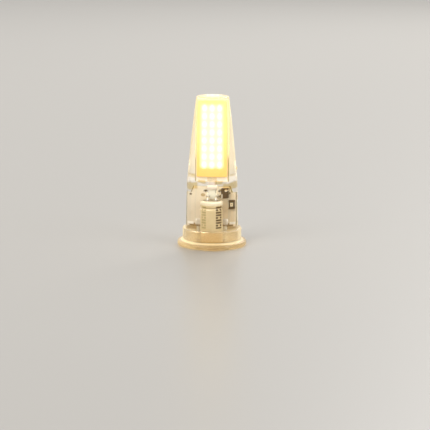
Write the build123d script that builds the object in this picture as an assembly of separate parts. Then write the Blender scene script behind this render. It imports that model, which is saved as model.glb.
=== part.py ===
import os

from build123d import *

# A low-voltage LED capsule bulb with two contact pins, in millimetres.
# The origin is on the bulb's axis, in the underside of the base flange, and +Z points to the tip.
# Both circuit boards stand in the XZ plane, with their front facing -Y.

# Clear body: one silicone casting that fills the base cup and embeds the boards
body_height = 32.4
foot_radius = 5.75
crease_height = 13.2
crease_radius = 5.5
tip_radius = 3.48
taper_bulge = 0.12
taper_stretches = 2
tip_chamfer = 0.3
vent_height = 16.9
vent_radius = 0.4
vent_stand = 0.25

# Base cup with its flange
cup_wall = 0.65
cup_height = 3.8
cup_floor = 1.4
cup_rim_chamfer = 0.15
flange_reach = 1.1
flange_thickness = 1.1
flange_edge_share = 0.3
flange_root_share = 0.25
gate_width = 2.2
gate_stand = 0.5
gate_thickness = 0.4
gate_angle = 8.0

# Contact pins
pin_radius = 0.35
pin_pitch = 4.0
pin_length = 7.5
pin_tip_chamfer = 0.18
pin_collar_radius = 0.6
pin_collar_height = 0.8
pin_hold = 1.4
pin_bead_margin = 0.35

# Both boards
board_thickness = 0.8
solder_gap = 0.1
solder_bead = 0.3
part_clearance = 0.12
solder_chamfer = 0.2

# Driver board, with a tongue at the top that takes the emitter board's neck
driver_width = 8.8
driver_lift = 2.8
driver_height = 7.4
tongue_height = 1.3
tongue_foot_width = 6.6
tongue_top_width = 5.7

# Emitter board
emitter_width = 5.2
emitter_tip_wall = 0.8
emitter_gap = 1.0
neck_width = 1.15
neck_hold = 1.3
link_bead_width = 1.7
link_bead_height = 1.0
link_bead_stand = 0.3

# Phosphor layers with their light-emitting dies, the same on the front and the rear
phosphor_side_margin = 0.12
phosphor_top_margin = 0.2
phosphor_foot_margin = 1.15
phosphor_thickness = 0.5
die_columns = 3
die_rows = 8
die_width = 0.5
die_length = 0.8
die_thickness = 0.15
die_column_pitch = 1.27
die_foot_margin = 3.8
die_top_margin = 1.75

# Electrolytic capacitor, standing in front of the driver board with its leads up
can_radius = 2.0
can_height = 6.5
can_chamfer = 0.25
can_offset = 0.15
can_clearance = 0.06
groove_depth = 0.18
groove_drop = 1.5
groove_half_height = 0.3
sleeve_wall = 0.1
bung_radius = 1.5
bung_depth = 1.0
lead_radius = 0.22
lead_pitch = 1.5
lead_stub = 0.25
lead_bend = 0.5
lead_tail = 0.35
lead_pad_radius = 0.52
lead_slot_clearance = 0.18

# Moulded packages: sizes are across, along and off the board
chip_width = 1.15
chip_length = 2.1
chip_height = 0.95
chip_leg_pitch = 1.35
chip_leg_width = 0.35
chip_leg_reach = 0.38
chip_drop = 0.3
rectifier_offset = -0.3
rectifier_width = 4.2
rectifier_height = 1.5
rectifier_leg_share = 0.7
rectifier_leg_width = 0.7
rectifier_leg_reach = 0.8
moulding_chamfer = 0.1
leg_thickness = 0.14

# Ceramic parts with metal ends: width, length and height
front_resistor_size = (1.25, 1.95, 0.5)
rear_resistor_size = (0.85, 1.6, 0.45)
filter_capacitor_size = (1.25, 2.0, 1.0)
board_edge_margin = 0.25
resistor_drop = 0.48
end_share = 0.2
end_stand = 0.04

# Levels and places that follow from the sizes above
cup_radius = foot_radius + cup_wall
flange_radius = cup_radius + flange_reach
driver_foot = cup_floor + driver_lift
driver_shoulder = driver_foot + driver_height
tongue_top = driver_shoulder + tongue_height
slot_floor = tongue_top - neck_hold
emitter_foot = tongue_top + emitter_gap
emitter_top = body_height - emitter_tip_wall
lead_hole_height = slot_floor - lead_slot_clearance - lead_pad_radius
can_top = lead_hole_height - lead_bend - lead_stub
can_foot = can_top - can_height
sleeve_radius = can_radius + sleeve_wall
can_y = -(board_thickness / 2 + solder_bead + can_clearance + sleeve_radius)
lead_xs = (can_offset - lead_pitch / 2, can_offset + lead_pitch / 2)
lead_hole_radius = lead_radius + solder_gap
pin_xs = (-pin_pitch / 2, pin_pitch / 2)
pin_top = driver_foot + pin_hold
pin_bead_top = pin_top + solder_gap + pin_bead_margin
chip_x = lead_xs[1] + lead_radius + part_clearance + chip_leg_reach + chip_width / 2
chip_z = tongue_top - chip_drop - chip_length / 2
front_resistor_z = chip_z - chip_length / 2 - resistor_drop - front_resistor_size[1] / 2
rear_resistor_z = driver_shoulder - board_edge_margin - rear_resistor_size[1] / 2
filter_capacitor_z = driver_shoulder - board_edge_margin - filter_capacitor_size[1] / 2
rectifier_foot = pin_bead_top + part_clearance
rectifier_top = filter_capacitor_z - filter_capacitor_size[1] / 2 - part_clearance
rectifier_length = rectifier_top - rectifier_foot
rectifier_z = (rectifier_foot + rectifier_top) / 2


def upright(x, z):
    """A sketch plane in the middle of the boards: sketch X is +X, sketch Y is +Z."""
    return Plane(origin=(x, 0, z), x_dir=(1, 0, 0), z_dir=(0, -1, 0))


def front_face(x, z):
    """A sketch plane on the front of the boards, with its normal pointing off the board."""
    return Plane(origin=(x, -board_thickness / 2, z), x_dir=(1, 0, 0), z_dir=(0, -1, 0))


def rear_face(x, z):
    """A sketch plane on the rear of the boards, with its normal pointing off the board."""
    return Plane(origin=(x, board_thickness / 2, z), x_dir=(-1, 0, 0), z_dir=(0, 1, 0))


def turned(profile, x=0, y=0):
    """Revolve a profile, drawn as radius and height, about an upright axis."""
    return Pos(x, y, 0) * revolve(Plane.XZ * profile, Axis.Z)


def taper_radius(height):
    """Radius of the tapered upper body: a straight taper plus its slight bulge."""
    share = (height - crease_height) / (body_height - crease_height)
    straight = crease_radius + share * (tip_radius - crease_radius)
    return straight + 4 * taper_bulge * share * (1 - share)


def make_body_form():
    taper = []
    for step in range(taper_stretches):
        height = crease_height + (body_height - crease_height) * step / taper_stretches
        taper.append((taper_radius(height), height))
    outline = Polyline(
        (0, cup_floor), (foot_radius, cup_floor), (foot_radius, cup_height), *taper,
        (taper_radius(body_height - tip_chamfer), body_height - tip_chamfer),
        (tip_radius - tip_chamfer, body_height), (0, body_height), close=True,
    )
    vent = Cylinder(
        vent_radius, taper_radius(vent_height) + vent_stand, rotation=(0, 90, 0),
        align=(Align.CENTER, Align.CENTER, Align.MIN))
    return turned(make_face(outline)) + Pos(0, 0, vent_height) * vent


def make_base_cup(pins):
    edge, root = flange_edge_share * flange_reach, flange_root_share * flange_reach
    outline = Polyline(
        (0, 0), (flange_radius - edge, 0), (flange_radius, edge),
        (flange_radius, flange_thickness - edge), (flange_radius - edge, flange_thickness),
        (cup_radius + root, flange_thickness), (cup_radius, flange_thickness + root),
        (cup_radius, cup_height - cup_rim_chamfer), (cup_radius - cup_rim_chamfer, cup_height),
        (foot_radius, cup_height), (foot_radius, cup_floor), (0, cup_floor), close=True,
    )
    cup = turned(make_face(outline))
    gate_length = flange_radius + gate_stand - cup_radius
    gate = Pos(0, -(cup_radius + gate_length / 2), flange_thickness / 2) * Box(
        gate_width, gate_length, gate_thickness)
    cup += Rot(0, 0, gate_angle) * gate
    for pin in pins:
        cup -= pin
    return cup


def make_pin(x):
    outline = Polyline(
        (0, -pin_length), (pin_radius - pin_tip_chamfer, -pin_length),
        (pin_radius, pin_tip_chamfer - pin_length), (pin_radius, 0), (pin_collar_radius, 0),
        (pin_collar_radius, pin_collar_height), (pin_radius, pin_collar_height),
        (pin_radius, pin_top), (0, pin_top), close=True,
    )
    return turned(make_face(outline), x)


def make_driver_board():
    half, foot, top = driver_width / 2, tongue_foot_width / 2, tongue_top_width / 2
    outline = Polyline(
        (-half, driver_foot), (half, driver_foot), (half, driver_shoulder), (foot, driver_shoulder),
        (top, tongue_top), (-top, tongue_top), (-foot, driver_shoulder), (-half, driver_shoulder),
        close=True,
    )
    sketch = make_face(outline)
    slot_width = neck_width + 2 * solder_gap
    sketch -= Pos(0, (slot_floor + tongue_top) / 2) * Rectangle(slot_width, neck_hold)
    pin_slot_radius = pin_radius + solder_gap
    for x in pin_xs:
        slot_top = pin_top + solder_gap - pin_slot_radius
        sketch -= Pos(x, (driver_foot + slot_top) / 2) * Rectangle(
            2 * pin_slot_radius, slot_top - driver_foot)
        sketch -= Pos(x, slot_top) * Circle(pin_slot_radius)
    for x in lead_xs:
        sketch -= Pos(x, lead_hole_height) * Circle(lead_hole_radius)
    return extrude(upright(0, 0) * sketch, board_thickness / 2, both=True)


def make_emitter_board():
    half, neck = emitter_width / 2, neck_width / 2
    outline = Polyline(
        (-neck, slot_floor), (neck, slot_floor), (neck, emitter_foot), (half, emitter_foot),
        (half, emitter_top), (-half, emitter_top), (-half, emitter_foot), (-neck, emitter_foot),
        close=True,
    )
    return extrude(upright(0, 0) * make_face(outline), board_thickness / 2, both=True)


def make_dies(face):
    """A grid of flat dies on one face of the emitter board."""
    first, last = emitter_foot + die_foot_margin, emitter_top - die_top_margin
    row_pitch = (last - first) / (die_rows - 1)
    dies = []
    for row in range(die_rows):
        for column in range(die_columns):
            x = (column - (die_columns - 1) / 2) * die_column_pitch
            plane = face(x, first + row * row_pitch)
            dies.append(extrude(plane * Rectangle(die_width, die_length), die_thickness))
    return dies


def make_phosphor(face, dies):
    """The cast layer on one face of the emitter board, over the dies, and its outer form."""
    foot, top = emitter_foot + phosphor_foot_margin, emitter_top - phosphor_top_margin
    outline = Rectangle(emitter_width - 2 * phosphor_side_margin, top - foot)
    plane = face(0, (foot + top) / 2)
    form = extrude(plane * outline, phosphor_thickness)
    layer = form
    for die in dies:
        layer -= die
    return layer, form


def bead_block(x, foot, top, width):
    """A block of solder that reaches off both faces of a board, with its ends chamfered."""
    sketch = Pos(x, (foot + top) / 2) * Rectangle(width, top - foot)
    block = extrude(upright(0, 0) * sketch, board_thickness / 2 + solder_bead, both=True)
    return chamfer(block.faces().filter_by(Axis.Y).edges(), solder_chamfer)


def make_link_solder(driver_board, emitter_board):
    top = tongue_top + link_bead_stand
    return bead_block(0, top - link_bead_height, top, link_bead_width) - driver_board - emitter_board


def make_pin_solder(x, driver_board, pin):
    width = 2 * (pin_radius + solder_gap + pin_bead_margin)
    return bead_block(x, driver_foot, pin_bead_top, width) - driver_board - pin


def can_form(radius):
    """A closed can with a chamfered top edge and a rolled groove under it."""
    low, middle, high = (can_top - groove_drop + step * groove_half_height for step in (-1, 0, 1))
    outline = Polyline(
        (0, can_foot), (radius, can_foot), (radius, low), (radius - groove_depth, middle), (radius, high),
        (radius, can_top - can_chamfer), (radius - can_chamfer, can_top), (0, can_top), close=True,
    )
    return turned(make_face(outline), can_offset, can_y)


def make_capacitor():
    """Can, the sleeve shrunk over it, the rubber bung in its top and its two leads."""
    form = can_form(can_radius)
    sleeve = can_form(sleeve_radius) - form
    bung = Pos(can_offset, can_y, can_top) * Cylinder(
        bung_radius, bung_depth, align=(Align.CENTER, Align.CENTER, Align.MAX))
    can = form - bung
    leads = [make_lead(x) for x in lead_xs]
    for lead in leads:
        bung -= lead
    return can, sleeve, bung, leads


def make_lead(x):
    """A lead that rises out of the bung, bends in two steps and passes through the driver board."""
    foot = (x, can_y, can_top - bung_depth)
    path = Polyline(
        foot, (x, can_y, lead_hole_height - lead_bend), (x, can_y + lead_bend, lead_hole_height),
        (x, board_thickness / 2 + lead_tail, lead_hole_height),
    )
    return sweep(Plane(origin=foot, z_dir=(0, 0, 1)) * Circle(lead_radius), path, transition=Transition.RIGHT)


def make_lead_solder(x, lead):
    """Solder that fills a lead's hole and rises in a cone on the rear face of the board."""
    half = board_thickness / 2
    outline = Polyline(
        (0, -half), (lead_hole_radius, -half), (lead_hole_radius, half), (lead_pad_radius, half),
        (lead_radius, half + lead_tail), (0, half + lead_tail), close=True,
    )
    plane = Plane(origin=(x, 0, lead_hole_height), x_dir=(1, 0, 0), z_dir=(0, 0, 1))
    return revolve(plane * make_face(outline), Axis((x, 0, lead_hole_height), (0, 1, 0))) - lead


def moulding(plane, width, length, height):
    """A black moulded package with chamfered top edges, lying on a board."""
    block = extrude(plane * Rectangle(width, length), height)
    top = block.faces().sort_by(Axis(plane.origin, plane.z_dir))[-1]
    return chamfer(top.edges(), moulding_chamfer)


def make_leg(plane, side, along, half_width, shoulder, leg_width, reach):
    """A gull-wing leg: out of the package's side, down to the board and out along it."""
    knee = reach / 2
    outline = Polyline(
        (0, shoulder + leg_thickness), (knee, shoulder + leg_thickness), (knee, leg_thickness),
        (reach, leg_thickness), (reach, 0), (knee - leg_thickness, 0),
        (knee - leg_thickness, shoulder), (0, shoulder), close=True,
    )
    start = plane.origin + plane.x_dir * (side * half_width) + plane.y_dir * along
    section = Plane(origin=start, x_dir=plane.x_dir * side, z_dir=plane.y_dir * -side)
    return extrude(section * make_face(outline), leg_width / 2, both=True)


def chip_part(plane, size):
    """A small ceramic part and its two metal ends, which stand slightly proud of it."""
    width, length, height = size
    end_length = length * end_share
    middle = extrude(plane * Rectangle(width - 2 * end_stand, length - 2 * end_length), height - end_stand)
    end_centre = (length - end_length) / 2
    ends = [
        extrude(plane * (Pos(0, side * end_centre) * Rectangle(width, end_length)), height)
        for side in (-1, 1)
    ]
    return middle, ends


def edge_x(size):
    """Where a part's middle is when it stands at its margin from the driver board's edge."""
    return driver_width / 2 - board_edge_margin - size[0] / 2


pins = [make_pin(x) for x in pin_xs]
base_cup = make_base_cup(pins)
driver_board = make_driver_board()
emitter_board = make_emitter_board()
front_dies = make_dies(front_face)
rear_dies = make_dies(rear_face)
front_phosphor, front_phosphor_form = make_phosphor(front_face, front_dies)
rear_phosphor, rear_phosphor_form = make_phosphor(rear_face, rear_dies)
link_solder = make_link_solder(driver_board, emitter_board)
pin_solder = [make_pin_solder(x, driver_board, pin) for x, pin in zip(pin_xs, pins)]
can, sleeve, bung, leads = make_capacitor()
lead_solder = [make_lead_solder(x, lead) for x, lead in zip(lead_xs, leads)]

chip_plane = front_face(chip_x, chip_z)
chip = moulding(chip_plane, chip_width, chip_length, chip_height)
chip_legs = [
    make_leg(chip_plane, side, along, chip_width / 2, chip_height / 2, chip_leg_width, chip_leg_reach)
    for side, along in ((-1, -chip_leg_pitch / 2), (-1, chip_leg_pitch / 2), (1, 0))
]
rectifier_plane = rear_face(rectifier_offset, rectifier_z)
rectifier = moulding(rectifier_plane, rectifier_width, rectifier_length, rectifier_height)
rectifier_legs = [
    make_leg(rectifier_plane, side, along, rectifier_width / 2, rectifier_height / 2,
             rectifier_leg_width, rectifier_leg_reach)
    for side in (-1, 1)
    for along in (-rectifier_leg_share * rectifier_length / 2, rectifier_leg_share * rectifier_length / 2)
]
front_resistor, front_resistor_ends = chip_part(
    front_face(edge_x(front_resistor_size), front_resistor_z), front_resistor_size)
rear_resistor, rear_resistor_ends = chip_part(
    rear_face(-edge_x(rear_resistor_size), rear_resistor_z), rear_resistor_size)
filter_capacitor, filter_capacitor_ends = chip_part(
    rear_face(edge_x(filter_capacitor_size), filter_capacitor_z), filter_capacitor_size)

inner_pieces = {
    "emitter_board": [emitter_board],
    "front_phosphor": [front_phosphor],
    "rear_phosphor": [rear_phosphor],
    "front_dies": front_dies,
    "rear_dies": rear_dies,
    "driver_board": [driver_board],
    "link_solder": [link_solder],
    "pin_solder": pin_solder,
    "capacitor_can": [can],
    "capacitor_sleeve": [sleeve],
    "capacitor_bung": [bung],
    "capacitor_leads": leads,
    "lead_solder": lead_solder,
    "driver_chip": [chip],
    "driver_chip_legs": chip_legs,
    "bridge_rectifier": [rectifier],
    "rectifier_legs": rectifier_legs,
    "front_resistor": [front_resistor],
    "front_resistor_ends": front_resistor_ends,
    "rear_resistor": [rear_resistor],
    "rear_resistor_ends": rear_resistor_ends,
    "filter_capacitor": [filter_capacitor],
    "filter_capacitor_ends": filter_capacitor_ends,
    "left_pin": [pins[0]],
    "right_pin": [pins[1]],
}

# The silicone takes the form of everything it is cast round
capsule_body = make_body_form() - front_phosphor_form - rear_phosphor_form
under_phosphor = ("front_phosphor", "rear_phosphor", "front_dies", "rear_dies")
for name, solids in inner_pieces.items():
    if name not in under_phosphor:
        for solid in solids:
            capsule_body -= solid

os.makedirs("parts", exist_ok=True)
for name, solids in {"capsule_body": [capsule_body], "base_cup": [base_cup], **inner_pieces}.items():
    export_step(Compound(children=[s for piece in solids for s in piece.solids()]), f"parts/{name}.step")
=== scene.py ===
import math

import bmesh
import bpy
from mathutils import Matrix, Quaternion, Vector, noise


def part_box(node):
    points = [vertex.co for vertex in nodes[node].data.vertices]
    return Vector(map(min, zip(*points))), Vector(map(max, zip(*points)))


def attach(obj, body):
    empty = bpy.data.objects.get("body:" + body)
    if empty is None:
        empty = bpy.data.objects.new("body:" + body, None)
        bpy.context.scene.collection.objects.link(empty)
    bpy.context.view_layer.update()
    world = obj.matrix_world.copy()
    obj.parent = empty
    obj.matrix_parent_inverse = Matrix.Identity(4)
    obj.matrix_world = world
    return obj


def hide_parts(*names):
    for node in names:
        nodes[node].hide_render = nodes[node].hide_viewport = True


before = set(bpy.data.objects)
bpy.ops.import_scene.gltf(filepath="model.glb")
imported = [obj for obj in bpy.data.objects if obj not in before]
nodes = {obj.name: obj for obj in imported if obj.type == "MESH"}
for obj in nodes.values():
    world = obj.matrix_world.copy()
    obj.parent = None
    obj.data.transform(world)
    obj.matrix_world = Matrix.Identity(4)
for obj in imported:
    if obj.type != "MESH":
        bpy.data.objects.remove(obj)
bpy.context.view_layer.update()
mm = 0.001
print("frame loaded with", len(nodes), "nodes")


# Shader maths: a Term is a socket that Python's operators work on
class Term:
    def __init__(self, finish, socket):
        self.finish = finish
        self.socket = socket

    def maths(self, operation, *others):
        return self.finish.maths(operation, self, *others)

    def __add__(self, other):
        return self.maths("ADD", other)

    def __sub__(self, other):
        return self.maths("SUBTRACT", other)

    def __rsub__(self, other):
        return self.finish.maths("SUBTRACT", other, self)

    def __mul__(self, other):
        return self.maths("MULTIPLY", other)

    def __truediv__(self, other):
        return self.maths("DIVIDE", other)

    def __abs__(self):
        return self.maths("ABSOLUTE")

    __radd__ = __add__
    __rmul__ = __mul__

    # 1 where this is under a limit, with a soft edge
    def under(self, limit, soft):
        sockets = {"Value": self, "From Min": limit + soft, "From Max": limit - soft}
        return self.finish.add("ShaderNodeMapRange", {"interpolation_type": "SMOOTHSTEP"}, sockets)

    def over(self, limit, soft):
        return 1 - self.under(limit, soft)

    # 1 between two limits
    def within(self, low, high, soft):
        return self.over(low, soft) * self.under(high, soft)


# A material's nodes, laid out in the object's own coordinates
class Finish:
    def __init__(self, name, **constants):
        self.material = bpy.data.materials.new(name)
        self.material.use_nodes = True
        self.tree = self.material.node_tree
        self.surface = self.tree.nodes["Principled BSDF"]
        self.output = self.tree.nodes["Material Output"]
        for socket, value in constants.items():
            self.surface.inputs[socket.replace("_", " ")].default_value = value
        self.place = self.add("ShaderNodeTexCoord", out="Object")

    def put(self, socket, value):
        if isinstance(value, Term):
            self.tree.links.new(value.socket, socket)
        else:
            socket.default_value = value

    def add(self, kind, settings=None, sockets=None, out=0):
        node = self.tree.nodes.new(kind)
        for name, value in (settings or {}).items():
            setattr(node, name, value)
        for name, value in (sockets or {}).items():
            self.put(node.inputs[name], value)
        return Term(self, node.outputs[out])

    def maths(self, operation, *values):
        return self.add("ShaderNodeMath", {"operation": operation}, dict(enumerate(values)))

    def axes(self):
        return [self.add("ShaderNodeSeparateXYZ", None, {0: self.place}, out) for out in "XYZ"]

    def noise(self, scale, detail):
        sockets = {"Vector": self.place, "Scale": scale, "Detail": detail, "Roughness": 0.55}
        return self.add("ShaderNodeTexNoise", None, sockets)

    def blend(self, factor, first, second):
        node = self.tree.nodes.new("ShaderNodeMix")
        node.data_type = "RGBA"
        self.put(node.inputs[0], factor)
        for socket, colour in ((node.inputs[6], first), (node.inputs[7], second)):
            self.put(socket, colour if isinstance(colour, Term) else (*colour, 1))
        return Term(self, node.outputs[2])

    def bump(self, height, distance):
        bumped = self.add("ShaderNodeBump", None, {"Height": height, "Distance": distance})
        self.put(self.surface.inputs["Normal"], bumped)

    def set(self, **sockets):
        for name, value in sockets.items():
            self.put(self.surface.inputs[name.replace("_", " ")], value)
        return self

    # what feeds Base Color so far
    def base(self):
        return Term(self, self.surface.inputs["Base Color"].links[0].from_socket)


def dress(piece, finish):
    piece.data.materials.clear()
    piece.data.materials.append(finish.material)


# Both boards: white solder mask over faint tracks, with pads and bare laminate at the edges.
# A track is its middle and its width. A pad is x from, x to, z from, z to and its tone, and is mirrored
# about the middle.
board = {
    "mask": (0.77, 0.69, 0.56),
    "maskRight": (0.83, 0.70, 0.50),
    "maskTurn": 3,  # half the width over which the first becomes the second
    "grainTone": (0.60, 0.55, 0.42),
    "grainScale": 2600,
    "grainShare": 0.12,
    "trackMask": (0.66, 0.62, 0.52),
    "trackShare": 0.4,
    "tracks": ((-3.6, 0.5), (-2.6, 0.22), (-0.2, 0.3), (1.1, 0.25), (2.9, 0.5), (3.9, 0.2)),
    "trackSoft": 0.04,
    "wanderScale": 220,
    "wander": 0.5,
    "padColour": (0.93, 0.90, 0.84),
    "slotLine": (0.97, 0.92, 0.76),
    "slotFill": (0.80, 0.79, 0.70),
    "footShade": (0.28, 0.18, 0.06),
    "driverPads": (
        # the two footShade pads are painted shade at the board's foot
        (2.2, 3.7, 3.8, 4.6, "footShade"), (2.2, 2.9, 4.5, 4.9, "footShade"),
        (2.95, 4.3, 4.65, 5.2, "padColour"), (-0.1, 0.62, 10.3, 11.6, "slotFill"),
        (0.62, 0.80, 10.3, 12.1, "slotLine")),
    "tenonPad": (-0.1, 0.75, 10.0, 12.3, "slotFill"),
    "shoulderReach": (0.75, 2.5),
    "shoulderGaps": (0.12, 0.1),  # to the board's foot and to the phosphor
    "padSoft": 0.04,
    "neck": (0.62, 0.56, 0.57),
    "neckHeight": 1.0,
    "neckSoft": 0.05,
    "neckStripe": 0.3,
    "stripeShare": 0.5,
    "laminate": (0.22, 0.17, 0.05),
    "laminateInset": 0.05,
    "edgeSoft": 0.02,
    "laminateLit": (0.82, 0.70, 0.42),
    "laminateGlow": (0.20, 0.15, 0.06),
    "litRise": 4.2,  # above the phosphor's foot
    "litSoft": 1.2,
    "relief": 0.02,
    "trackRelief": 0.6,
    "grainRelief": 0.15,
}


def maskFinish(name, node, pads, neckTop=None, litFrom=None):
    finish = Finish(name, Roughness=0.42, Specular_IOR_Level=0.45)
    x, y, z = finish.axes()
    wander = (finish.noise(board["wanderScale"], 1) - 0.5) * (board["wander"] * mm)
    tracks = 0
    for middle, width in board["tracks"]:
        tracks = abs(x - middle * mm + wander).under(width / 2 * mm, board["trackSoft"] * mm) + tracks
    grain = finish.noise(board["grainScale"], 2)
    colour = finish.blend(x.over(0, board["maskTurn"] * mm), board["mask"], board["maskRight"])
    colour = finish.blend(tracks * board["trackShare"], colour, board["trackMask"])
    colour = finish.blend(grain * board["grainShare"], colour, board["grainTone"])
    if neckTop is not None:
        soft = board["neckSoft"] * mm
        stripes = abs(abs(x) - board["neckStripe"] * mm).under(soft, soft)
        neck = finish.blend(stripes * board["stripeShare"], board["neck"], board["trackMask"])
        colour = finish.blend(z.under(neckTop, soft), colour, neck)
    soft = board["padSoft"] * mm
    for left, right, foot, top, tone in pads:
        onPad = abs(x).within(left * mm, right * mm, soft) * z.within(foot * mm, top * mm, soft)
        colour = finish.blend(onPad, colour, board[tone])
    edge = abs(y).under(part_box(node)[1].y - board["laminateInset"] * mm, board["edgeSoft"] * mm)
    laminate = board["laminate"]
    if litFrom is not None:  # from this height the bare edge is painted lit, with a painted glow, for light from the phosphor beside it
        lit = z.over(litFrom, board["litSoft"] * mm)
        laminate = finish.blend(lit, laminate, board["laminateLit"])
        glow = finish.blend(edge * lit, (0, 0, 0), board["laminateGlow"])
        finish.set(Emission_Strength=1.0, Emission_Color=glow)
    finish.bump(tracks * board["trackRelief"] + grain * board["grainRelief"], board["relief"] * mm)
    return finish.set(Base_Color=finish.blend(edge, colour, laminate))


driverLow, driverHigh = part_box("driver_board")
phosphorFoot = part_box("front_phosphor")[0].z
emitterFoot = driverHigh.z / mm + board["neckHeight"]  # the neck ends and the emitter board widens here
gapBelow, gapAbove = board["shoulderGaps"]
shoulderPad = (*board["shoulderReach"], emitterFoot + gapBelow, phosphorFoot / mm - gapAbove, "padColour")
dress(nodes["driver_board"], maskFinish("driverMask", "driver_board", board["driverPads"]))
dress(nodes["emitter_board"], maskFinish(
    "emitterMask", "emitter_board", (board["tenonPad"], shoulderPad),
    (emitterFoot - board["neckSoft"]) * mm, phosphorFoot + board["litRise"] * mm))
print("boards finished")


# A block with rounded edges, for parts that are cast or moulded
def roundedBlock(name, low, high, soft):
    shape = bmesh.new()
    bmesh.ops.create_cube(shape, size=1)
    for vertex in shape.verts:
        vertex.co = (low + high) / 2 + Vector(a * b for a, b in zip(vertex.co, high - low))
    bmesh.ops.bevel(shape, geom=shape.edges[:], offset=soft, segments=3, profile=0.5, affect="EDGES")
    return finished(name, shape)


def finished(name, shape):
    bmesh.ops.recalc_face_normals(shape, faces=shape.faces)
    if shape.calc_volume(signed=True) < 0:  # a thin closed ring can come out inside out
        bmesh.ops.reverse_faces(shape, faces=shape.faces)
    mesh = bpy.data.meshes.new(name)
    shape.to_mesh(mesh)
    shape.free()
    mesh.shade_smooth()
    piece = bpy.data.objects.new(name, mesh)
    bpy.context.scene.collection.objects.link(piece)
    return piece


def seat(piece, slot, *replaced):
    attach(piece, "root")
    if replaced:
        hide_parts(*replaced)


# Phosphor: white-hot points over the dies, nearly white between them, amber at the margins and the foot.
# Its colours are as they are seen, and burn out past 1.
phosphor = {
    "glow": 8.0,
    "layer": (0.35, 0.22, 0.05),
    "crystal": ((0.55, 0.60, 0.75), (0.70, 0.72, 0.80)),
    "crystalGrain": 4000,
    "dieWidth": 0.5,
    "dieLength": 0.8,
    "columns": 3,
    "rows": 8,
    "dotRadius": 0.32,
    "dotSoft": 0.32,
    "dotShare": 0.54,  # width of a point as a share of its length
    "dotColour": (1.6, 1.472, 1.296),
    "fieldColour": (0.78, 0.88, 0.64),
    "marginColour": (0.78, 0.69, 0.27),
    "footColour": (0.78, 0.43, 0.11),
    "fieldReach": 0.62,
    "fieldSoft": (0.34, 0.5),  # at the sides, at the ends
    "footRise": 3,
    "footSoft": 6,
    "grainScale": 900,
    "grainShare": 0.25,
    "relief": 0.03,
    "grainRelief": 0.3,
    "edgeSoft": 0.12,
    "sunk": 0.02,
}


def phosphorFinish(name, dies):
    low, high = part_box(dies)
    halfWidth, halfLength = phosphor["dieWidth"] / 2 * mm, phosphor["dieLength"] / 2 * mm
    left, right = low.x + halfWidth, high.x - halfWidth
    foot, top = low.z + halfLength, high.z - halfLength
    layer = (*phosphor["layer"], 1)
    finish = Finish(name, Roughness=0.5, Base_Color=layer, Emission_Strength=phosphor["glow"])
    x, _, z = finish.axes()

    # distance to the nearest die along one axis
    def toNearest(axis, first, last, count):
        pitch = (last - first) / (count - 1)
        step = ((axis - first) / pitch).maths("ROUND").maths("MAXIMUM", 0).maths("MINIMUM", count - 1)
        return axis - first - step * pitch

    across = toNearest(x, left, right, phosphor["columns"])
    along = toNearest(z, foot, top, phosphor["rows"]) * phosphor["dotShare"]
    away = (across * across + along * along).maths("SQRT")
    dot = away.under(phosphor["dotRadius"] * mm, phosphor["dotSoft"] * mm)
    reach, (sideSoft, endSoft) = phosphor["fieldReach"] * mm, phosphor["fieldSoft"]
    field = abs(x).under(right + reach, sideSoft * mm) * z.within(foot - reach, top + reach, endSoft * mm)
    grain = finish.noise(phosphor["grainScale"], 2)
    seen = {key: tuple(c / phosphor["glow"] for c in phosphor[key]) for key in phosphor if "Colour" in key}
    lower = z.under(foot + phosphor["footRise"] * mm, phosphor["footSoft"] * mm)
    colour = finish.blend(lower, seen["marginColour"], seen["footColour"])
    colour = finish.blend(grain * phosphor["grainShare"], colour, seen["footColour"])
    colour = finish.blend(field, colour, seen["fieldColour"])
    colour = finish.blend(dot, colour, seen["dotColour"])
    finish.bump(dot + grain * phosphor["grainRelief"], phosphor["relief"] * mm)
    return finish.set(Emission_Color=colour)


def makePhosphor():
    for side in ("front", "rear"):
        low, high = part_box(side + "_phosphor")
        if side == "front":
            high.y += phosphor["sunk"] * mm
        else:
            low.y -= phosphor["sunk"] * mm
        piece = roundedBlock(side + "Phosphor", low, high, phosphor["edgeSoft"] * mm)
        dress(piece, phosphorFinish(side + "Light", side + "_dies"))
        seat(piece, "phosphor", side + "_phosphor")
    finish = Finish("dieCrystal", Roughness=0.2, Coat_Weight=0.4)
    finish.set(Base_Color=finish.blend(finish.noise(phosphor["crystalGrain"], 1), *phosphor["crystal"]))
    for name in ("front_dies", "rear_dies"):
        dress(nodes[name], finish)


makePhosphor()
print("phosphor and dies finished")


def metalFinish(name, dark, light, rough, grain, dent):
    finish = Finish(name, Metallic=1.0)
    cloud = finish.noise(grain, 3)
    finish.set(Base_Color=finish.blend(cloud, dark, light), Roughness=cloud * 0.18 + rough)
    finish.bump(cloud, dent * mm)
    return finish


# Metals: dark tone, light tone, roughness, scale of the grain and depth of the dents
metals = {
    "solderBright": ((0.62, 0.60, 0.56), (0.86, 0.85, 0.82), 0.16, 900, 0.05),
    "tinnedWire": ((0.60, 0.58, 0.55), (0.78, 0.77, 0.74), 0.22, 1500, 0.01),
    "canAluminium": ((0.68, 0.67, 0.65), (0.84, 0.83, 0.81), 0.28, 700, 0.01),
    "darkWire": ((0.16, 0.11, 0.04), (0.42, 0.34, 0.18), 0.3, 1500, 0.01),
    "darkEnds": ((0.06, 0.030, 0.005), (0.12, 0.065, 0.014), 0.35, 1500, 0.01),
    "pinNickel": ((0.62, 0.60, 0.55), (0.78, 0.76, 0.72), 0.2, 500, 0.008),
}
finishes = {name: metalFinish(name, *values) for name, values in metals.items()}
metalNodes = {
    "solderBright": ("lead_solder", "rear_resistor_ends", "filter_capacitor_ends"),
    "darkEnds": ("front_resistor_ends",),
    "tinnedWire": ("rectifier_legs",),
    "darkWire": ("driver_chip_legs",),
    "pinNickel": ("left_pin", "right_pin"),
}
for name, members in metalNodes.items():
    for member in members:
        dress(nodes[member], finishes[name])
print("metals finished")


cornerSteps = 6


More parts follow.
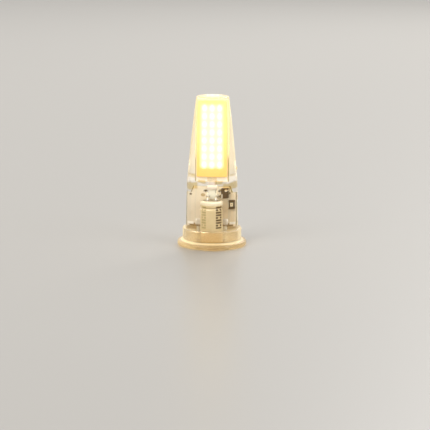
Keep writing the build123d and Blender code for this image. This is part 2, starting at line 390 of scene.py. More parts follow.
# Bodies of revolution: an outline of radius, height and corner rounding, turned round an upright axis
def roundedOutline(corners):
    outline = []
    for index, (r, z, radius) in enumerate(corners):
        here = Vector((r, z))
        if not radius:
            outline.append(here)
            continue
        before = (Vector(corners[index - 1][:2]) - here).normalized()
        after = (Vector(corners[(index + 1) % len(corners)][:2]) - here).normalized()
        half = before.angle(after) / 2
        reach = radius / math.tan(half)
        centre = here + (before + after).normalized() * (radius / math.sin(half))
        first, last = here + before * reach - centre, here + after * reach - centre
        arc = [first.lerp(last, step / cornerSteps) for step in range(cornerSteps + 1)]
        outline += [centre + spoke.normalized() * radius for spoke in arc]
    return outline


# Adds points along long straight stretches of an outline
def filled(outline, spacing):
    points = [outline[0]]
    for last, here in zip(outline, outline[1:]):
        count = max(1, math.ceil((here - last).length / spacing))
        points += [last.lerp(here, step / count) for step in range(1, count + 1)]
    return points


# reshape, if given, moves each point: it gets and returns x, y and z in mm
def turnedPiece(name, outline, segments, middle=(0, 0), closed=False, reshape=None):
    shape = bmesh.new()
    rings = []
    for point in outline:
        spokes = [2 * math.pi * i / segments for i in range(segments)] if point.x > 1e-6 else [0]
        ring = []
        for a in spokes:
            place = (middle[0] + point.x * math.cos(a), middle[1] + point.x * math.sin(a), point.y)
            ring.append(shape.verts.new([v * mm for v in (reshape(*place) if reshape else place)]))
        rings.append(ring)
    for below, above in zip(rings, rings[1:] + (rings[:1] if closed else [])):
        for i in range(segments):
            j = (i + 1) % segments
            face = [ring[at % len(ring)] for ring, at in ((below, i), (below, j), (above, j), (above, i))]
            shape.faces.new(list(dict.fromkeys(face)))
    return finished(name, shape)


# Capacitor: turned can, and a shrunk cream film with plain bars, dark on one side and faint on the other
capacitor = {
    "wall": 0.1,
    "bungRadius": 1.5,
    "bungDepth": 1.0,
    "bungSoft": 0.08,
    "grooveDrop": 1.5,
    "grooveDepth": 0.18,
    "grooveHalfHeight": 0.34,
    "grooveSoft": 0.2,
    "footSoft": 0.25,
    "rimSoft": 0.42,
    "rimLip": 0.3,
    "thinSoft": 0.03,
    "segments": 96,
    "film": (0.61, 0.48, 0.26),
    "filmLight": (0.72, 0.59, 0.35),
    "filmGrain": 500,
    "wrinkleGrain": 1100,
    "relief": 0.02,
    "rimColour": (0.82, 0.74, 0.56),
    "rimHighlightBand": 0.75,
    "rimHighlightSoft": 0.15,
    "darkPrint": (0.09, 0.045, 0.007),
    "darkAngle": 51,
    "darkHalfWidth": 21,
    "faintPrint": (0.42, 0.34, 0.16),
    "faintAngle": -46,
    "faintHalfWidth": 17,
    "angleSoft": 1.5,
    "printMargins": (0.7, 0.95),  # at the foot, at the top
    "printSoft": 0.05,
    "barPitch": 0.56,
    "barShare": 0.36,
    "splitEvery": 3,
    "splitAngle": 6,
    "wornGrain": 1500,
    "wornFrom": (0.30, 0.06),
}


def sleeveFinish():
    finish = Finish("sleeveFilm", Roughness=0.3, Coat_Weight=0.4, Coat_Roughness=0.12)
    low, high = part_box("capacitor_sleeve")
    middle = (low + high) / 2
    x, y, z = finish.axes()
    angle = finish.maths("ARCTAN2", x - middle.x, middle.y - y) * (180 / math.pi)
    row = (z - low.z) / (capacitor["barPitch"] * mm)
    bars = abs(row.maths("FRACT") - 0.5).under(capacitor["barShare"], capacitor["printSoft"])
    below, above = capacitor["printMargins"]
    inside = z.within(low.z + below * mm, high.z - above * mm, capacitor["printSoft"] * mm)
    every = capacitor["splitEvery"]
    split = (row / every).maths("FRACT").over(1 - 1 / every, 0.01)
    colour = finish.blend(finish.noise(capacitor["filmGrain"], 2), capacitor["film"], capacitor["filmLight"])
    # painted highlight: the film is lighter along its top rim
    rim = z.over(high.z - capacitor["rimHighlightBand"] * mm, capacitor["rimHighlightSoft"] * mm)
    colour = finish.blend(rim, colour, capacitor["rimColour"])
    worn = finish.noise(capacitor["wornGrain"], 2).over(*capacitor["wornFrom"])
    soft = capacitor["angleSoft"]
    for tone in ("faint", "dark"):
        away = abs(angle - capacitor[tone + "Angle"])
        gap = split * away.under(capacitor["splitAngle"], soft)
        strip = away.under(capacitor[tone + "HalfWidth"], soft) * (1 - gap)
        colour = finish.blend(strip * bars * inside * worn, colour, capacitor[tone + "Print"])
    finish.bump(finish.noise(capacitor["wrinkleGrain"], 2), capacitor["relief"] * mm)
    return finish.set(Base_Color=colour)


def makeCapacitor():
    low, high = (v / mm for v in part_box("capacitor_can"))
    middle, radius, foot, top = (low + high) / 2, (high.x - low.x) / 2, low.z, high.z
    groove = top - capacitor["grooveDrop"]
    half, depth = capacitor["grooveHalfHeight"], capacitor["grooveDepth"]
    bung, wall, segments = capacitor["bungRadius"], capacitor["wall"], capacitor["segments"]

    def side(grow, footSoft):
        outer, soft = radius + grow, capacitor["grooveSoft"]
        return [(outer, foot, footSoft), (outer, groove - half, soft), (outer - depth, groove, soft),
                (outer, groove + half, soft)]

    rim, bungFoot = capacitor["rimSoft"], top - capacitor["bungDepth"]
    corners = [(0, foot, 0), *side(0, capacitor["footSoft"]), (radius, top, rim),
               (bung, top, capacitor["bungSoft"]), (bung, bungFoot, 0), (0, bungFoot, 0)]
    can = turnedPiece("canShell", roundedOutline(corners), segments, middle[:2])
    dress(can, finishes["canAluminium"])
    seat(can, "can_aluminium", "capacitor_can")
    lip, thin = bung + capacitor["rimLip"], capacitor["thinSoft"]
    outside = [*side(wall, thin), (radius + wall, top + wall, rim + wall), (lip, top + wall, thin)]
    inside = [*side(0, thin), (radius, top, rim), (lip, top, thin)]
    outline = roundedOutline(outside + inside[::-1])
    film = turnedPiece("capacitorFilm", outline, segments, middle[:2], closed=True)
    dress(film, sleeveFinish())
    seat(film, "printed_sleeve", "capacitor_sleeve")


makeCapacitor()
print("capacitor made")


# The rectifier's package, the ceramic capacitor and the rubber bung: node, dark tone, light tone, scale of
# the grain, roughness and depth of the dents
smallParts = {
    "packageEpoxy": ("bridge_rectifier", (0.016, 0.014, 0.012), (0.040, 0.036, 0.032), 2600, 0.42, 0.015),
    "capacitorCeramic": ("filter_capacitor", (0.42, 0.25, 0.12), (0.56, 0.37, 0.20), 1500, 0.35, 0.01),
    "bungRubber": ("capacitor_bung", (0.40, 0.35, 0.26), (0.55, 0.49, 0.38), 1800, 0.6, 0.02),
}


def speckled(name, dark, light, grain, rough, dent, **constants):
    finish = Finish(name, **constants)
    cloud = finish.noise(grain, 2)
    finish.set(Base_Color=finish.blend(cloud, dark, light), Roughness=cloud * 0.2 + rough)
    finish.bump(cloud, dent * mm)
    return finish


# Resistors: a dark glaze, and a pale window with a plain bar on the side away from the board
resistor = {
    "glaze": ((0.034, 0.016, 0.002), (0.066, 0.032, 0.005), 1800, 0.5, 0.01),
    "front": (0.72, 0.62, 0.42),
    "frontShares": (0.56, 0.72),  # of the resistor's width and height
    "rear": (0.55, 0.50, 0.40),
    "rearShares": (0.5, 0.5),
    "windowSoft": 0.03,
    "faceShare": 0.6,  # of the half depth
    "faceSoft": 0.02,
    "bar": (0.25, 0.17, 0.08),
    "barShares": (0.16, 0.2),
    "barSoft": 0.04,
    "barStrength": 0.7,
}


def resistorFinish(name, side):
    finish = speckled(name, *resistor["glaze"], Specular_IOR_Level=0.15)
    low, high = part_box(side + "_resistor")
    middle, half = (low + high) / 2, (high - low) / 2
    x, y, z = finish.axes()
    across, up = abs(x - middle.x), abs(z - middle.z)
    inward = (y - middle.y) * (1 if side == "front" else -1)
    (wide, tall), (barWide, barTall) = resistor[side + "Shares"], resistor["barShares"]
    soft = resistor["windowSoft"] * mm
    window = across.under(half.x * wide, soft) * up.under(half.z * tall, soft)
    window = window * inward.under(-half.y * resistor["faceShare"], resistor["faceSoft"] * mm)
    bar = across.under(half.x * barWide, soft) * up.under(half.z * barTall, resistor["barSoft"] * mm)
    tone = finish.blend(bar * resistor["barStrength"], resistor[side], resistor["bar"])
    return finish.set(Base_Color=finish.blend(window, finish.base(), tone))


# Chip: painted highlights, a pale round spot at its top right and a pale patch on its lower left corner
chip = {
    "epoxy": ((0.040, 0.018, 0.002), (0.078, 0.037, 0.005), 2600, 0.5, 0.015),
    "markInset": (0.24, 0.38),
    "markRadius": 0.26,
    "spotHighlight": (0.80, 0.72, 0.60),
    "markSoft": 0.04,
    "cornerSize": (0.3, 0.95),
    "cornerSoft": (0.04, 0.06),
    "cornerHighlight": (0.62, 0.55, 0.44),
    "cornerShare": 0.8,
}


def chipFinish():
    finish = speckled("chipEpoxy", *chip["epoxy"], Specular_IOR_Level=0.25)
    low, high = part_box("driver_chip")
    x, _, z = finish.axes()
    (insetX, insetZ), (width, height) = chip["markInset"], chip["cornerSize"]
    markX, markZ = x - (high.x - insetX * mm), z - (high.z - insetZ * mm)
    away = (markX * markX + markZ * markZ).maths("SQRT")
    # painted highlight: a pale round spot at the top right
    highlightSpot = away.under(chip["markRadius"] * mm, chip["markSoft"] * mm)
    softX, softZ = chip["cornerSoft"]
    # painted highlight on the lower left corner
    highlightCorner = x.under(low.x + width * mm, softX * mm) * z.under(low.z + height * mm, softZ * mm)
    colour = finish.blend(highlightCorner * chip["cornerShare"], finish.base(), chip["cornerHighlight"])
    return finish.set(Base_Color=finish.blend(highlightSpot, colour, chip["spotHighlight"]))


for name, (node, *values) in smallParts.items():
    dress(nodes[node], speckled(name, *values))
for name, side in (("resistorFront", "front"), ("resistorRear", "rear")):
    dress(nodes[side + "_resistor"], resistorFinish(name, side))
dress(nodes["driver_chip"], chipFinish())
print("small parts finished")


# Solder: lumps that sag round what they join, pressed out of a ball and roughened by noise. A tone is dark,
# light, roughness, scale of the grain and depth of the dents.
solder = {
    "linkGrow": 0.06,
    "squareness": 0.62,
    "fill": 0.96,
    "wobble": 0.06,
    "wobbleScale": 1.3,
    "linkSeed": 3,
    "pinSeeds": (7, 11),
    "subdivisions": 5,
    "crown": ((0.80, 0.72, 0.63), (0.90, 0.83, 0.75), 0.42, 900, 0.05),
    "collar": ((0.62, 0.56, 0.47), (0.74, 0.69, 0.60), 0.42, 900, 0.05),
    "metallic": 0.3,
    "paintedShade": (0.32, 0.22, 0.11),
    "shadeTop": 4.6,
    "shadeSoft": 0.3,
}


# A lump that fills a box, more square than a ball
def addLump(shape, low, high, seed):
    made = bmesh.ops.create_icosphere(shape, subdivisions=solder["subdivisions"], radius=1)
    for vertex in made["verts"]:
        ball = vertex.co.normalized()
        wave = noise.noise(ball * solder["wobbleScale"] + Vector((seed, 0, 0))) * solder["wobble"]
        squared = Vector(math.copysign(abs(v) ** solder["squareness"], v) for v in ball)
        squared *= solder["fill"] + wave
        vertex.co = (low + high) / 2 + Vector(a * b for a, b in zip(squared, (high - low) / 2))


def makeSolder():
    grow = Vector((1, 0, 1)) * solder["linkGrow"] * mm
    low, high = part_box("link_solder")
    crown = bmesh.new()
    addLump(crown, low - grow, high + grow, solder["linkSeed"])
    piece = finished("linkSolder", crown)
    dress(piece, metalFinish("solderCrown", *solder["crown"]).set(Metallic=solder["metallic"]))
    seat(piece, "solder", "link_solder")
    low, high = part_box("pin_solder")
    width = (high.x - low.x) - (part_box("right_pin")[0].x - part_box("left_pin")[0].x)
    leftSeed, rightSeed = solder["pinSeeds"]
    collars = bmesh.new()
    addLump(collars, low, Vector((low.x + width, high.y, high.z)), leftSeed)
    addLump(collars, Vector((high.x - width, low.y, low.z)), high, rightSeed)
    piece = finished("pinSolder", collars)
    shaded = metalFinish("solderShadedFoot", *solder["collar"])
    # painted shade: the collars turn darker below a set height at the board's foot
    foot = shaded.axes()[2].under(solder["shadeTop"] * mm, solder["shadeSoft"] * mm)
    shaded.set(Metallic=solder["metallic"], Base_Color=shaded.blend(foot, shaded.base(), solder["paintedShade"]))
    dress(piece, shaded)
    seat(piece, "solder", "pin_solder")


makeSolder()
print("solder made")


# Vias and pads on the boards: small rings set on points by Geometry Nodes, with dark discs of painted shade
# in the holes
vias = {
    "Outer Radius": 0.24,
    "Wire Radius": 0.06,
    "Hole Radius": 0.17,
    "Spread": 0.15,
    "seed": 5,
    "ringSteps": 24,
    "wireSides": 8,
    "holeSides": 20,
    "frontPoints": ((-3.5, 11.2), (-1.0, 12.07), (1.22, 12.02)),
    "testRadius": 0.36,
    "testPoints": ((-1.4, 11.15),),
    "darkPadRadius": 0.42,
    "darkPadPoints": ((1.6, 10.9),),
    "ink": (1500, 0.4, 0.01),  # scale of the grain, roughness, depth of the dents
    # painted shade: the dark discs in the via holes
    "viaHoleShade": ((0.05, 0.03, 0.012), (0.12, 0.08, 0.03)),
    "testPadInk": ((0.42, 0.31, 0.16), (0.60, 0.47, 0.27)),
    "darkPadInk": ((0.16, 0.10, 0.025), (0.26, 0.17, 0.05)),
    "rearPoints": ((-3.6, 7.5), (-3.3, 5.0), (3.4, 5.0), (3.5, 7.2), (1.6, 11.9), (-1.7, 12.0), (-3.8, 9.0)),
}


def viaTree(kind, finish):
    tree = bpy.data.node_groups.new(kind, "GeometryNodeTree")
    tree.interface.new_socket("Geometry", in_out="INPUT", socket_type="NodeSocketGeometry")
    for name in ("Outer Radius", "Wire Radius", "Hole Radius", "Spread"):
        tree.interface.new_socket(name, in_out="INPUT", socket_type="NodeSocketFloat")
    tree.interface.new_socket("Geometry", in_out="OUTPUT", socket_type="NodeSocketGeometry")
    add, link = tree.nodes.new, tree.links.new
    source, target = add("NodeGroupInput"), add("NodeGroupOutput")
    if kind == "viaRings":
        circle, section, shape = (add("GeometryNode" + n) for n in (
            "CurvePrimitiveCircle", "CurvePrimitiveCircle", "CurveToMesh"))
        circle.inputs["Resolution"].default_value = vias["ringSteps"]
        section.inputs["Resolution"].default_value = vias["wireSides"]
        link(source.outputs["Outer Radius"], circle.inputs["Radius"])
        link(source.outputs["Wire Radius"], section.inputs["Radius"])
        link(circle.outputs["Curve"], shape.inputs["Curve"])
        link(section.outputs["Curve"], shape.inputs["Profile Curve"])
    else:
        shape = add("GeometryNodeMeshCylinder")
        shape.inputs["Vertices"].default_value = vias["holeSides"]
        link(source.outputs["Hole Radius"], shape.inputs["Radius"])
        link(source.outputs["Wire Radius"], shape.inputs["Depth"])
    points, place = add("GeometryNodeMeshToPoints"), add("GeometryNodeInstanceOnPoints")
    size = add("FunctionNodeRandomValue")
    size.data_type = "FLOAT"
    size.inputs["Seed"].default_value = vias["seed"]
    low, high = add("ShaderNodeMath"), add("ShaderNodeMath")
    low.operation, high.operation = "SUBTRACT", "ADD"
    for node, socket in ((low, 2), (high, 3)):
        node.inputs[0].default_value = 1
        link(source.outputs["Spread"], node.inputs[1])
        link(node.outputs[0], size.inputs[socket])
    place.inputs["Rotation"].default_value = (math.pi / 2, 0, 0)
    real, paint = add("GeometryNodeRealizeInstances"), add("GeometryNodeSetMaterial")
    paint.inputs["Material"].default_value = finish.material
    link(source.outputs["Geometry"], points.inputs["Mesh"])
    link(points.outputs["Points"], place.inputs["Points"])
    link(shape.outputs["Mesh"], place.inputs["Instance"])
    link(size.outputs[1], place.inputs["Scale"])
    link(place.outputs["Instances"], real.inputs["Geometry"])
    link(real.outputs["Geometry"], paint.inputs["Geometry"])
    link(paint.outputs["Geometry"], target.inputs["Geometry"])
    return tree


# Runs a tree on points and keeps its result as a plain mesh
def grown(name, points, tree, inputs, edges=()):
    seedMesh = bpy.data.meshes.new(name)
    seedMesh.from_pydata([tuple(v * mm for v in p) for p in points], edges, [])
    piece = bpy.data.objects.new(name, seedMesh)
    bpy.context.scene.collection.objects.link(piece)
    modifier = piece.modifiers.new("grow", "NODES")
    modifier.node_group = tree
    for item in tree.interface.items_tree:
        if item.in_out == "INPUT" and item.name in inputs:
            modifier[item.identifier] = inputs[item.name]
    bpy.context.view_layer.update()
    graph = bpy.context.evaluated_depsgraph_get()
    mesh = bpy.data.meshes.new_from_object(piece.evaluated_get(graph))
    piece.modifiers.remove(modifier)
    piece.data = mesh
    return piece


def makeVias():
    front, rear = driverLow.y / mm, driverHigh.y / mm
    through = [(x, front, z) for x, z in vias["frontPoints"]] + [(x, rear, z) for x, z in vias["rearPoints"]]
    tests, darks = ([(x, front, z) for x, z in vias[key]] for key in ("testPoints", "darkPadPoints"))
    viaHoleShade, testInk, darkInk = (
        speckled(name, *vias[name], *vias["ink"]) for name in ("viaHoleShade", "testPadInk", "darkPadInk"))
    for kind, finish, points, radius, spread in (
            ("viaRings", finishes["solderBright"], through, vias["Hole Radius"], vias["Spread"]),
            ("viaHoles", viaHoleShade, through, vias["Hole Radius"], vias["Spread"]),
            ("testPads", testInk, tests, vias["testRadius"], 0.0),
            ("darkPads", darkInk, darks, vias["darkPadRadius"], 0.0)):
        sizes = {name: vias[name] * mm for name in ("Outer Radius", "Wire Radius")}
        sizes.update({"Hole Radius": radius * mm, "Spread": spread})
        seat(grown(kind, points, viaTree(kind, finish), sizes), "solder")


makeVias()
print("vias grown")


# Capacitor leads: a smooth bent wire along each route, grown from its points by Geometry Nodes
leads = {
    "Wire Radius": 0.22,
    "Bend Radius": 0.55,
    "bendSteps": 10,
    "sides": 20,
}


def leadTree(finish):
    tree = bpy.data.node_groups.new("leadWires", "GeometryNodeTree")
    tree.interface.new_socket("Geometry", in_out="INPUT", socket_type="NodeSocketGeometry")
    for name in ("Wire Radius", "Bend Radius"):
        tree.interface.new_socket(name, in_out="INPUT", socket_type="NodeSocketFloat")
    tree.interface.new_socket("Geometry", in_out="OUTPUT", socket_type="NodeSocketGeometry")
    source, route, bend, section, wire, real, paint, target = (tree.nodes.new(kind) for kind in (
        "NodeGroupInput", "GeometryNodeMeshToCurve", "GeometryNodeFilletCurve",
        "GeometryNodeCurvePrimitiveCircle", "GeometryNodeCurveToMesh", "GeometryNodeRealizeInstances",
        "GeometryNodeSetMaterial", "NodeGroupOutput"))
    bend.mode = "POLY"
    bend.inputs["Count"].default_value = leads["bendSteps"]
    bend.inputs["Limit Radius"].default_value = True
    section.inputs["Resolution"].default_value = leads["sides"]
    wire.inputs["Fill Caps"].default_value = True
    paint.inputs["Material"].default_value = finish.material
    for first, second in (
            (source.outputs["Geometry"], route.inputs["Mesh"]),
            (route.outputs["Curve"], bend.inputs["Curve"]),
            (source.outputs["Bend Radius"], bend.inputs["Radius"]),
            (source.outputs["Wire Radius"], section.inputs["Radius"]),
            (bend.outputs["Curve"], wire.inputs["Curve"]),
            (section.outputs["Curve"], wire.inputs["Profile Curve"]),
            (wire.outputs["Mesh"], real.inputs["Geometry"]),
            (real.outputs["Geometry"], paint.inputs["Geometry"]),
            (paint.outputs["Geometry"], target.inputs["Geometry"])):
        tree.links.new(first, second)
    return tree


def makeLeads():
    low, high = (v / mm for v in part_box("capacitor_leads"))
    radius = leads["Wire Radius"]
    holeZ, stemY = high.z - radius, low.y + radius
    points, edges = [], []
    for x in (low.x + radius, high.x - radius):
        first = len(points)
        points += [(x, stemY, low.z), (x, stemY, holeZ), (x, high.y, holeZ)]
        edges += [(first, first + 1), (first + 1, first + 2)]
    sizes = {name: leads[name] * mm for name in ("Wire Radius", "Bend Radius")}
    piece = grown("leadWires", points, leadTree(finishes["tinnedWire"]), sizes, edges)
    piece.data.shade_smooth()
    seat(piece, "tinned_wire", "capacitor_leads")


makeLeads()
print("leads grown")


def scaled(values):
    return [value * mm for value in values]


# Clear materials: light for shadows passes straight through, and a faint painted glow stands in for lamp
# light scattered in them
def clearFinish(name, values, veil):
    finish = Finish(name, Base_Color=(*values["tint"], 1), Roughness=values["rough"], IOR=values["ior"],
                    Transmission_Weight=values["clear"], Emission_Strength=1.0)
    finish.bump(finish.noise(values["waveScale"], 2), values["wave"] * mm)
    finish.set(Emission_Color=veil(finish))
    lamp = finish.add("ShaderNodeLightPath", out="Is Shadow Ray")
    seeThrough = finish.add("ShaderNodeBsdfTransparent", None, {"Color": (*values["tint"], 1)})
    sockets = {0: lamp, 1: Term(finish, finish.surface.outputs[0]), 2: seeThrough}
    finish.put(finish.output.inputs["Surface"], finish.add("ShaderNodeMixShader", None, sockets))
    return finish


# The clear casting as its outer surface alone, so that light bends at it once and shows the boards in it.
# A limit is a place and its softness. Heights are from, to and softness.
capsule = {
    "footRadius": 5.72,
    "creaseHeight": 13.2,
    "creaseRadius": 5.5,
    "tipRadius": 3.48,
    "tipSoft": 0.3,
    "footSoft": 0.2,
    "bulge": 0.12,
    "taperSteps": 80,
    "footGap": 0.03,
    "segments": 192,
    "ventHeight": 16.9,
    "ventRadius": 0.42,
    "ventStand": 0.25,
    "tint": (0.985, 0.975, 0.95),
    "rough": 0.015,
    "ior": 1.41,
    "clear": 1.0,
    "wave": 0.02,
    "waveScale": 260,
    "spacing": 0.4,
    "tintTop": (0.99, 0.955, 0.86),
    "tintFrom": (15.5, 2),
    "veilTop": (0.19, 0.135, 0.050),
    "veilFoot": (0.034, 0.021, 0.004),
    "veilFrom": (15.5, 2.5),
    "edgeTop": (0.38, 0.33, 0.20),
    "edgeFoot": (0.10, 0.085, 0.055),
    "edgeFrom": (0.95, 0.05),  # as shares of the half width
    "wanderScale": 300,
    "wander": 1.5,
    "creaseRefraction": (0.73, 0.52, 0.19),
    "creaseBands": ((2.7, 6.0, 12.75, 14.2), (0.9, 2.7, 14.15, 14.9)),  # x from, x to, z from, z to
    "creaseSoft": (0.3, 0.2),
    "wing": (0.30, 0.25, 0.18),
    "wingFrom": (3.5, 0.6),
    "wingHeights": (14.4, 15.5, 0.25),
}


def capsuleVeil(finish):
    x, _, z = finish.axes()
    across = abs(x)
    waved = z + (finish.noise(capsule["wanderScale"], 2) - 0.5) * (capsule["wander"] * mm)
    # painted glow in the casting, stronger and warmer towards the top
    veil = finish.blend(z.over(*scaled(capsule["veilFrom"])), capsule["veilFoot"], capsule["veilTop"])
    # painted highlight: a glow on both sides above the crease
    wing = across.over(*scaled(capsule["wingFrom"])) * waved.within(*scaled(capsule["wingHeights"]))
    veil = finish.blend(wing, veil, capsule["wing"])
    upper = z.over(*scaled(capsule["tintFrom"]))
    tint = finish.blend(upper, capsule["tint"], capsule["tintTop"])
    # painted refraction: golden bands on both sides at the crease, for what the crease shows by bending
    # light
    softX, softZ = scaled(capsule["creaseSoft"])
    for near, far, foot, top in (scaled(band) for band in capsule["creaseBands"]):
        band = waved.within(foot, top, softZ) * across.within(near, far, softX)
        tint = finish.blend(band, tint, capsule["creaseRefraction"])
    finish.set(Base_Color=tint)
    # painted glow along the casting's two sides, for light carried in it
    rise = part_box("capsule_body")[1].z / mm - capsule["creaseHeight"]
    slope = (capsule["creaseRadius"] - capsule["tipRadius"]) / rise
    reach = capsule["footRadius"] - (z / mm - capsule["creaseHeight"]).maths("MAXIMUM", 0) * slope
    edge = (across / mm / reach).over(*capsule["edgeFrom"])
    return finish.blend(edge, veil, finish.blend(upper, capsule["edgeFoot"], capsule["edgeTop"]))


def makeCapsule():
    low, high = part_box("capsule_body")
    top, foot = high.z / mm, low.z / mm + capsule["footGap"]
    crease, creaseRadius, tip = capsule["creaseHeight"], capsule["creaseRadius"], capsule["tipRadius"]

    def taper(height):
        share = (height - crease) / (top - crease)
        return creaseRadius + share * (tip - creaseRadius) + 4 * capsule["bulge"] * share * (1 - share)

    # the vent's mark stands out of the right side
    def vent(x, y, z):
        away = math.hypot(y, z - capsule["ventHeight"]) / capsule["ventRadius"]
        return (x + capsule["ventStand"] * math.sqrt(1 - away * away) if x > 0 and away < 1 else x), y, z

    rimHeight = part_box("base_cup")[1].z / mm
    corners = [(0, foot, 0), (capsule["footRadius"], foot, capsule["footSoft"]),
               (capsule["footRadius"], rimHeight, 0), (creaseRadius, crease, 0)]
    lower = filled(roundedOutline(corners), capsule["spacing"])
    tipStart = top - 3 * capsule["tipSoft"]
    count = capsule["taperSteps"]
    heights = [crease + (tipStart - crease) * i / count for i in range(1, count + 1)]
    upper = [Vector((taper(height), height)) for height in heights]
    ending = roundedOutline([(upper[-1].x, upper[-1].y, 0), (tip, top, capsule["tipSoft"]), (0, top, 0)])
    outline = lower + upper + filled(ending[1:], capsule["spacing"])
    piece = turnedPiece("capsuleBody", outline, capsule["segments"], reshape=vent)
    dress(piece, clearFinish("clearSilicone", capsule, capsuleVeil))
    seat(piece, "clear_silicone", "capsule_body")


makeCapsule()
print("capsule made")


# Base cup: milky clear, with a round-edged flange and the gate's mark at the front. In its tones, a limit is
# a place and its softness, and spans and heights are from, to and softness.
cup = {
    "wall": 0.65,
    "floor": 1.4,
    "flangeThickness": 1.1,
    "flangeSoft": 0.42,
    "rootSoft": 0.35,
    "rimSoft": 0.2,
    "innerSoft": 0.12,
    "gateAngle": 8.0,
    "gateWidth": 2.2,
    "gateStand": 0.5,
    "gateFrom": (-7.58, 0.06),
    "gateHeights": (0.3, 0.8),  # of the tab itself, from and to
    "segments": 256,
    "spacing": 0.12,
    "tint": (0.90, 0.80, 0.60),
    "tintMiddle": (0.79, 0.64, 0.40),
    "middleReach": (2.7, 1),
    "flangeTint": (0.80, 0.63, 0.36),
    "flangeFrom": (6.9, 0.2),
    "rough": 0.24,
    "ior": 1.42,
    "clear": 0.88,
    "wave": 0.02,
    "waveScale": 260,
    "veil": (0.026, 0.019, 0.009),
    "veilDeep": (0.014, 0.009, 0.003),
    "cloudScale": 180,
    "gateShade": (0.68, 0.50, 0.26),
    "gateShadow": (0.34, 0.20, 0.07),
    "gateShadowTop": (0.38, 0.04),
    "rootLight": (0.42, 0.36, 0.22),
    "rootHeights": (0.98, 1.42, 0.12),
    "rootReach": (6.2, 6.75, 0.15),
    "wallFootShadow": (0.60, 0.44, 0.20),
    "wallFootShadowHeights": (1.46, 1.66, 0.06),
    "wallFootShadowSpan": (-3, 3.5, 1),
    "wallFootShadowFront": (0, 1),
    "paintedShade": (0.25, 0.14, 0.035),
    "shadeSpans": ((-2.7, -1.3, 0.2), (0.7, 2.3, 0.2)),
    "shadeHeights": (2.5, 3.9, 0.2),
    "shadeFrom": (3, 0.5),
    "innerReach": (6, 0.05),
    "sideLight": (0.16, 0.13, 0.07),
    "sideFrom": (5.9, 0.2),
    "sideFoot": (1.42, 0.2),
}


def cupVeil(finish):
    x, y, z = finish.axes()
    reach = (x * x + y * y).maths("SQRT")
    # painted glow in the cup, standing in for lamp light scattered in it
    veil = finish.blend(finish.noise(cup["cloudScale"], 2), cup["veil"], cup["veilDeep"])
    # painted glow along the cup's sides
    side = abs(x).over(*scaled(cup["sideFrom"])) * z.over(*scaled(cup["sideFoot"]))
    veil = finish.blend(side, veil, cup["sideLight"])
    # painted highlight where the wall meets the flange
    root = z.within(*scaled(cup["rootHeights"])) * reach.within(*scaled(cup["rootReach"]))
    veil = finish.blend(root, veil, cup["rootLight"])
    tint = finish.blend(abs(x).over(*scaled(cup["middleReach"])), cup["tintMiddle"], cup["tint"])
    tint = finish.blend(reach.over(*scaled(cup["flangeFrom"])), tint, cup["flangeTint"])
    # painted shadow: a dark line at the foot of the wall, at the front
    wallFootShadow = z.within(*scaled(cup["wallFootShadowHeights"])) * x.within(*scaled(cup["wallFootShadowSpan"]))
    wallFootShadow = wallFootShadow * y.under(*scaled(cup["wallFootShadowFront"]))
    tint = finish.blend(wallFootShadow, tint, cup["wallFootShadow"])
    # painted shade: brown patches inside the wall at the back, seen through the casting
    shaded = z.within(*scaled(cup["shadeHeights"])) * y.over(*scaled(cup["shadeFrom"]))
    shaded = shaded * reach.under(*scaled(cup["innerReach"]))
    for span in cup["shadeSpans"]:
        tint = finish.blend(x.within(*scaled(span)) * shaded, tint, cup["paintedShade"])
    # painted shade on the gate's tab, with a painted shadow at its foot
    gate = finish.blend(z.under(*scaled(cup["gateShadowTop"])), cup["gateShade"], cup["gateShadow"])
    finish.set(Base_Color=finish.blend(y.under(*scaled(cup["gateFrom"])), tint, gate))
    return veil


def makeCup():
    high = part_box("base_cup")[1] / mm
    flange, rim, floor = high.x, high.z, cup["floor"]
    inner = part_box("capsule_body")[1].y / mm
    outer = inner + cup["wall"]
    innerSoft, top = cup["innerSoft"], cup["flangeThickness"]
    corners = [
        (0, 0, 0), (flange, 0, cup["flangeSoft"]), (flange, top, cup["flangeSoft"]),
        (outer, top, cup["rootSoft"]), (outer, rim, cup["rimSoft"]),
        (inner, rim, innerSoft), (inner, floor, innerSoft), (0, floor, 0)]

    # the gate's mark is a flat tab on the edge of the flange
    def gate(x, y, z):
        turn = math.degrees(math.atan2(x, -y)) - cup["gateAngle"]
        reach, foot, top = math.hypot(x, y), *cup["gateHeights"]
        aside = abs(math.radians(turn) * flange) > cup["gateWidth"] / 2
        if reach < flange - 0.01 or aside or not foot < z < top:
            return x, y, z
        grow = 1 + cup["gateStand"] / flange
        return x * grow, y * grow, z

    outline = filled(roundedOutline(corners), cup["spacing"])
    piece = turnedPiece("baseCup", outline, cup["segments"], reshape=gate)
    dress(piece, clearFinish("milkyCup", cup, cupVeil))
    seat(piece, "clear_plastic", "base_cup")


makeCup()
print("cup made")


# Floor, light and camera. The camera's lengths are in mm and its angles in degrees. axisShift is in pixels,
# from the middle of the picture to the bulb's axis.
stage = {
    "floorColour": (0.47, 0.45, 0.42),
    "floorReach": 3.0,
    "floorRough": 0.36,
    "worldColour": (0.72, 0.72, 0.72),
    "worldStrength": 0.6,
    "backdropColour": (1.0, 0.97, 0.92),
    "lamps": (
        ("keyLamp", (-0.5, -0.55, 0.75), 0.6, 5.0, (1.0, 0.985, 0.96)),
        ("fillLamp", (0.65, -0.25, 0.5), 0.5, 2.2, (0.97, 0.985, 1.0)),
        ("rearLamp", (0.25, 0.7, 0.6), 0.5, 3.0, (1.0, 1.0, 1.0)),
    ),
    "azimuth": 5.0,
    "distance": 308.0,
    "height": 68.5,
    "pitch": 11.4,
    "axisShift": 3.0,
    "roll": 0.35,
    "focalPixels": 1444.0,
    "imagePixels": 430,
}


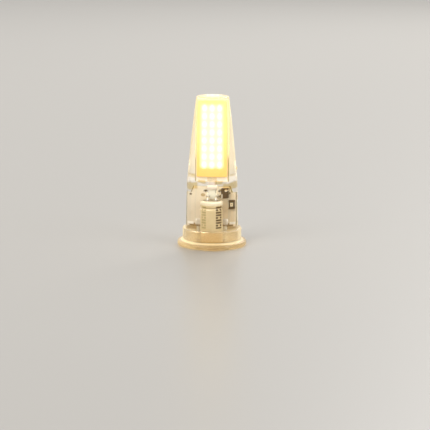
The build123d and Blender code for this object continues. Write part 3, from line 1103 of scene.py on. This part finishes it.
# The world lights with a plain grey, and is seen, mirrored or looked through as a white backdrop
def makeWorld():
    world = bpy.data.worlds.new("studio")
    world.use_nodes = True
    tree = world.node_tree
    light = tree.nodes["Background"]
    light.inputs["Color"].default_value = (*stage["worldColour"], 1)
    light.inputs["Strength"].default_value = stage["worldStrength"]
    backdrop, path, mix = (tree.nodes.new("ShaderNode" + kind) for kind in (
        "Background", "LightPath", "MixShader"))
    backdrop.inputs["Color"].default_value = (*stage["backdropColour"], 1)
    seen = path.outputs["Is Camera Ray"]
    for name in ("Is Glossy Ray", "Is Transmission Ray"):
        either = tree.nodes.new("ShaderNodeMath")
        either.operation = "MAXIMUM"
        tree.links.new(seen, either.inputs[0])
        tree.links.new(path.outputs[name], either.inputs[1])
        seen = either.outputs[0]
    tree.links.new(seen, mix.inputs[0])
    tree.links.new(light.outputs[0], mix.inputs[1])
    tree.links.new(backdrop.outputs[0], mix.inputs[2])
    tree.links.new(mix.outputs[0], tree.nodes["World Output"].inputs["Surface"])
    bpy.context.scene.world = world


def makeStage():
    reach = stage["floorReach"]
    mesh = bpy.data.meshes.new("floor")
    mesh.from_pydata([(-reach, -reach, 0), (reach, -reach, 0), (reach, reach, 0), (-reach, reach, 0)], [],
                     [(0, 1, 2, 3)])
    floor = bpy.data.objects.new("floor", mesh)
    bpy.context.scene.collection.objects.link(floor)
    dress(floor, Finish("floorPlain", Base_Color=(*stage["floorColour"], 1), Roughness=stage["floorRough"]))
    for name, place, size, power, colour in stage["lamps"]:
        lamp = bpy.data.lights.new(name, "AREA")
        lamp.shape, lamp.size, lamp.energy, lamp.color = "DISK", size, power, colour
        holder = bpy.data.objects.new(name, lamp)
        holder.location = place
        holder.rotation_euler = (-Vector(place)).to_track_quat("-Z", "Y").to_euler()
        bpy.context.scene.collection.objects.link(holder)


def makeCamera():
    data = bpy.data.cameras.new("camera")
    data.sensor_width = 36
    data.lens = stage["focalPixels"] / stage["imagePixels"] * data.sensor_width
    data.clip_start, data.clip_end = 0.01, 20
    camera = bpy.data.objects.new("camera", data)
    azimuth = math.radians(stage["azimuth"])
    distance = stage["distance"] * mm
    camera.location = (distance * math.sin(azimuth), -distance * math.cos(azimuth), stage["height"] * mm)
    heading = azimuth - math.atan(stage["axisShift"] / stage["focalPixels"])
    pitch = math.radians(stage["pitch"])
    level = math.cos(pitch)
    ahead = Vector((-math.sin(heading) * level, math.cos(heading) * level, -math.sin(pitch)))
    look = ahead.to_track_quat("-Z", "Y")
    camera.rotation_mode = "QUATERNION"
    camera.rotation_quaternion = look @ Quaternion((0, 0, 1), math.radians(stage["roll"]))
    bpy.context.scene.collection.objects.link(camera)
    bpy.context.scene.camera = camera


makeStage()
makeWorld()
makeCamera()
bpy.context.scene.view_settings.view_transform = "Standard"
print("stage, light and camera made")
